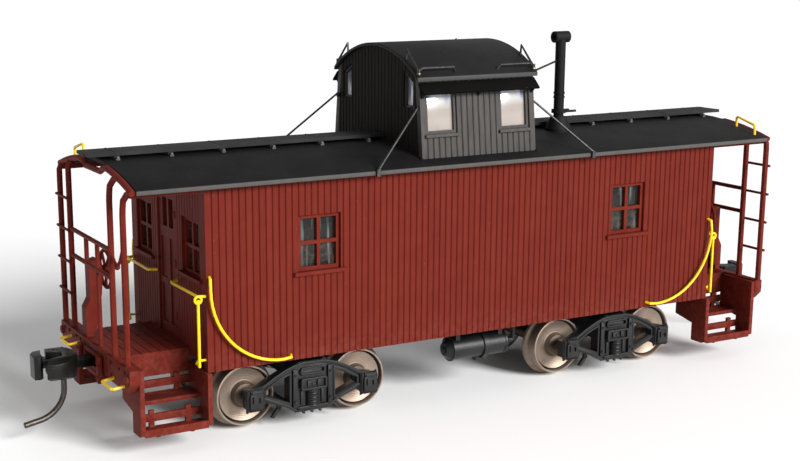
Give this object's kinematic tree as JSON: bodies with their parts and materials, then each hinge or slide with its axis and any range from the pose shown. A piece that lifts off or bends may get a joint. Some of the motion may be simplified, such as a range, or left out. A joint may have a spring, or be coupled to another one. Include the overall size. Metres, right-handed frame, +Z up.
{
  "type": "scale model railway caboose",
  "caption": "Small-scale model of a wooden cabin car with a cupola, open end platforms, swivelling four-wheel trucks and knuckle couplers.",
  "frame": {"origin": "on the ground under the middle of the car: the lowest points of the wheel flanges are at z = 0", "axes": "+X along the car towards its rear end, +Y towards its far side, +Z up"},
  "size_m": [0.141, 0.0346, 0.058],
  "materials": {
    "oxide_red": "flat oxide-red paint on moulded plastic",
    "roof_black": "flat black paint on moulded plastic",
    "black_wire": "blackened fine wire",
    "yellow_wire": "satin yellow paint on wire",
    "window_pane": "clear moulded pane",
    "screw_steel": "bright steel screw",
    "weight_steel": "plain steel bar",
    "underframe_black": "satin black moulded plastic",
    "truck_black": "satin black moulded plastic",
    "wheel_metal": "nickel-bronze plated, turned",
    "coupler_black": "satin black moulded plastic"
  },
  "bodies": {
    "carbody": {"side_wall_near": "oxide_red", "side_wall_far": "oxide_red", "end_wall_front": "oxide_red", "end_wall_rear": "oxide_red", "end_door_front": "oxide_red", "end_door_rear": "oxide_red", "side_sashes": "oxide_red", "end_sashes": "oxide_red", "body_glass": "window_pane", "roof": "roof_black", "running_board_front": "roof_black", "running_board_rear": "roof_black", "cupola_sides": "roof_black", "cupola_ends": "roof_black", "cupola_roof": "roof_black", "cupola_visors": "roof_black", "cupola_sashes": "roof_black", "cupola_glass": "window_pane", "cupola_handrails": "black_wire", "smokejack": "roof_black", "guy_wires": "black_wire", "underframe": "underframe_black", "truck_screws": "screw_steel", "steel_weight": "weight_steel", "air_reservoir": "underframe_black", "brake_cylinder": "underframe_black", "platform_front": "oxide_red", "platform_rear": "oxide_red", "end_sill_front": "oxide_red", "end_sill_rear": "oxide_red", "steps_front": "oxide_red", "steps_rear": "oxide_red", "draft_box_front": "oxide_red", "draft_box_rear": "oxide_red", "railing_front": "oxide_red", "railing_rear": "oxide_red", "ladder_front": "oxide_red", "ladder_rear": "oxide_red", "brake_stand_front": "oxide_red", "brake_stand_rear": "oxide_red", "side_grab_irons": "yellow_wire", "corner_handrails": "yellow_wire", "sill_grab_irons": "yellow_wire", "roof_grab_irons": "yellow_wire"},
    "truck_front": {"truck_sideframes_front": "truck_black", "truck_bolster_front": "truck_black"},
    "truck_rear": {"truck_sideframes_rear": "truck_black", "truck_bolster_rear": "truck_black"},
    "wheelset_1": {"wheels_1": "wheel_metal", "axle_1": "wheel_metal"},
    "wheelset_2": {"wheels_2": "wheel_metal", "axle_2": "wheel_metal"},
    "wheelset_3": {"wheels_3": "wheel_metal", "axle_3": "wheel_metal"},
    "wheelset_4": {"wheels_4": "wheel_metal", "axle_4": "wheel_metal"},
    "coupler_body_front": {"coupler_front": "coupler_black"},
    "knuckle_body_front": {"knuckle_front": "coupler_black"},
    "coupler_body_rear": {"coupler_rear": "coupler_black"},
    "knuckle_body_rear": {"knuckle_rear": "coupler_black"}
  },
  "joints": [
    {"name": "truck_swivel_front", "type": "hinge", "parent": "carbody", "child": "truck_front", "pos_m": [-0.02905, 0, 0.0085], "axis": [0, 0, 1], "range_deg": [-10, 10]},
    {"name": "truck_swivel_rear", "type": "hinge", "parent": "carbody", "child": "truck_rear", "pos_m": [0.02905, 0, 0.0085], "axis": [0, 0, 1], "range_deg": [-10, 10]},
    {"name": "wheelset_spin_1", "type": "hinge", "parent": "truck_front", "child": "wheelset_1", "pos_m": [-0.0387, 0, 0.00545], "axis": [0, 1, 0], "continuous": true},
    {"name": "wheelset_spin_2", "type": "hinge", "parent": "truck_front", "child": "wheelset_2", "pos_m": [-0.0194, 0, 0.00545], "axis": [0, 1, 0], "continuous": true},
    {"name": "wheelset_spin_3", "type": "hinge", "parent": "truck_rear", "child": "wheelset_3", "pos_m": [0.0194, 0, 0.00545], "axis": [0, 1, 0], "continuous": true},
    {"name": "wheelset_spin_4", "type": "hinge", "parent": "truck_rear", "child": "wheelset_4", "pos_m": [0.0387, 0, 0.00545], "axis": [0, 1, 0], "continuous": true},
    {"name": "coupler_swing_front", "type": "hinge", "parent": "carbody", "child": "coupler_body_front", "pos_m": [-0.0502, 0, 0.0114], "axis": [0, 0, 1], "range_deg": [-6, 6], "stiffness_Nm_per_rad": 0.0002},
    {"name": "knuckle_turn_front", "type": "hinge", "parent": "coupler_body_front", "child": "knuckle_body_front", "pos_m": [-0.065, 0.0019, 0.0114], "axis": [0, 0, 1], "range_deg": [-18, 0], "stiffness_Nm_per_rad": 0.0002},
    {"name": "coupler_swing_rear", "type": "hinge", "parent": "carbody", "child": "coupler_body_rear", "pos_m": [0.0502, 0, 0.0114], "axis": [0, 0, 1], "range_deg": [-6, 6], "stiffness_Nm_per_rad": 0.0002},
    {"name": "knuckle_turn_rear", "type": "hinge", "parent": "coupler_body_rear", "child": "knuckle_body_rear", "pos_m": [0.065, -0.0019, 0.0114], "axis": [0, 0, 1], "range_deg": [-18, 0], "stiffness_Nm_per_rad": 0.0002}
  ]
}
